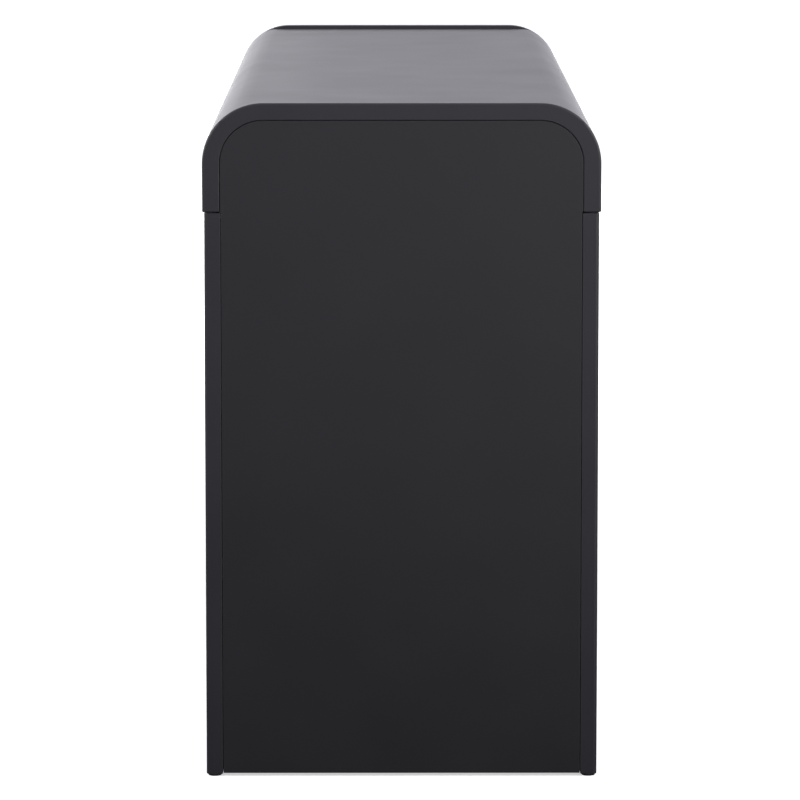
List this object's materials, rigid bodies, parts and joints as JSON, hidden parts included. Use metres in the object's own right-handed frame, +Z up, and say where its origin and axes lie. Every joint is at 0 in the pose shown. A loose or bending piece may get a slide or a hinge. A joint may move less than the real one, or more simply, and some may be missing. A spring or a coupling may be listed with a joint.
{
  "type": "dresser with drawers",
  "caption": "Low dresser with a curved waterfall top, flush end panels and inset finger-pull drawers on full-extension ball-bearing slides.",
  "frame": {"origin": "on the floor, below the middle of the dresser", "axes": "+X along the length to the right-hand end seen from the front, the drawer fronts face -Y, +Z up"},
  "size_m": [1.524, 0.457, 0.783],
  "materials": {
    "lacquer": "satin black foil or lacquer on board",
    "carcass_board": "black melamine-faced particleboard",
    "box_board": "dark grey melamine-faced board",
    "hardboard": "dark foil on thin hardboard",
    "zinc_steel": "bright zinc plate",
    "screw_steel": "zinc-plated screws",
    "black_plastic": "moulded matte"
  },
  "bodies": {
    "carcass": {"curved_top": "lacquer", "end_rims": "lacquer", "side_panel_left": "lacquer", "side_panel_right": "lacquer", "centre_partition": "carcass_board", "front_stile_left": "lacquer", "front_stile_right": "lacquer", "front_stile_centre": "lacquer", "rear_post_left": "lacquer", "rear_post_right": "lacquer", "front_plinth_rail": "lacquer", "rear_plinth_rail": "lacquer", "carcass_floor": "carcass_board", "back_panel": "hardboard", "front_rails_left": "carcass_board", "front_rails_right": "carcass_board", "rear_top_rails": "carcass_board", "corner_blocks": "black_plastic", "floor_glides": "black_plastic", "cabinet_slides": "zinc_steel", "slide_screws": "screw_steel", "anti_tip_brackets": "zinc_steel", "bracket_screws": "screw_steel"},
    "lower_left_drawer": {"lower_left_front": "lacquer", "lower_left_sides": "box_board", "lower_left_back": "box_board", "lower_left_bottom": "hardboard", "lower_left_inner_slides": "zinc_steel"},
    "lower_left_link": {"lower_left_linking_slides": "zinc_steel"},
    "lower_right_drawer": {"lower_right_front": "lacquer", "lower_right_sides": "box_board", "lower_right_back": "box_board", "lower_right_bottom": "hardboard", "lower_right_inner_slides": "zinc_steel"},
    "lower_right_link": {"lower_right_linking_slides": "zinc_steel"},
    "centre_left_drawer": {"centre_left_front": "lacquer", "centre_left_sides": "box_board", "centre_left_back": "box_board", "centre_left_bottom": "hardboard", "centre_left_inner_slides": "zinc_steel"},
    "centre_left_link": {"centre_left_linking_slides": "zinc_steel"},
    "centre_right_drawer": {"centre_right_front": "lacquer", "centre_right_sides": "box_board", "centre_right_back": "box_board", "centre_right_bottom": "hardboard", "centre_right_inner_slides": "zinc_steel"},
    "centre_right_link": {"centre_right_linking_slides": "zinc_steel"},
    "upper_left_drawer": {"upper_left_front": "lacquer", "upper_left_sides": "box_board", "upper_left_back": "box_board", "upper_left_bottom": "hardboard", "upper_left_inner_slides": "zinc_steel"},
    "upper_left_link": {"upper_left_linking_slides": "zinc_steel"},
    "upper_right_drawer": {"upper_right_front": "lacquer", "upper_right_sides": "box_board", "upper_right_back": "box_board", "upper_right_bottom": "hardboard", "upper_right_inner_slides": "zinc_steel"},
    "upper_right_link": {"upper_right_linking_slides": "zinc_steel"}
  },
  "joints": [
    {"name": "lower_left_drawer_slide", "type": "slide", "parent": "carcass", "child": "lower_left_drawer", "axis": [0, -1, 0], "range_m": [0, 0.35]},
    {"name": "lower_left_link_slide", "type": "slide", "parent": "carcass", "child": "lower_left_link", "axis": [0, -1, 0], "range_m": [0, 0.175]},
    {"name": "lower_right_drawer_slide", "type": "slide", "parent": "carcass", "child": "lower_right_drawer", "axis": [0, -1, 0], "range_m": [0, 0.35]},
    {"name": "lower_right_link_slide", "type": "slide", "parent": "carcass", "child": "lower_right_link", "axis": [0, -1, 0], "range_m": [0, 0.175]},
    {"name": "centre_left_drawer_slide", "type": "slide", "parent": "carcass", "child": "centre_left_drawer", "axis": [0, -1, 0], "range_m": [0, 0.35]},
    {"name": "centre_left_link_slide", "type": "slide", "parent": "carcass", "child": "centre_left_link", "axis": [0, -1, 0], "range_m": [0, 0.175]},
    {"name": "centre_right_drawer_slide", "type": "slide", "parent": "carcass", "child": "centre_right_drawer", "axis": [0, -1, 0], "range_m": [0, 0.35]},
    {"name": "centre_right_link_slide", "type": "slide", "parent": "carcass", "child": "centre_right_link", "axis": [0, -1, 0], "range_m": [0, 0.175]},
    {"name": "upper_left_drawer_slide", "type": "slide", "parent": "carcass", "child": "upper_left_drawer", "axis": [0, -1, 0], "range_m": [0, 0.35]},
    {"name": "upper_left_link_slide", "type": "slide", "parent": "carcass", "child": "upper_left_link", "axis": [0, -1, 0], "range_m": [0, 0.175]},
    {"name": "upper_right_drawer_slide", "type": "slide", "parent": "carcass", "child": "upper_right_drawer", "axis": [0, -1, 0], "range_m": [0, 0.35]},
    {"name": "upper_right_link_slide", "type": "slide", "parent": "carcass", "child": "upper_right_link", "axis": [0, -1, 0], "range_m": [0, 0.175]}
  ],
  "couplings": [
    {"joint": "lower_left_link_slide", "follows": "lower_left_drawer_slide", "ratio": 0.5},
    {"joint": "lower_right_link_slide", "follows": "lower_right_drawer_slide", "ratio": 0.5},
    {"joint": "centre_left_link_slide", "follows": "centre_left_drawer_slide", "ratio": 0.5},
    {"joint": "centre_right_link_slide", "follows": "centre_right_drawer_slide", "ratio": 0.5},
    {"joint": "upper_left_link_slide", "follows": "upper_left_drawer_slide", "ratio": 0.5},
    {"joint": "upper_right_link_slide", "follows": "upper_right_drawer_slide", "ratio": 0.5}
  ]
}
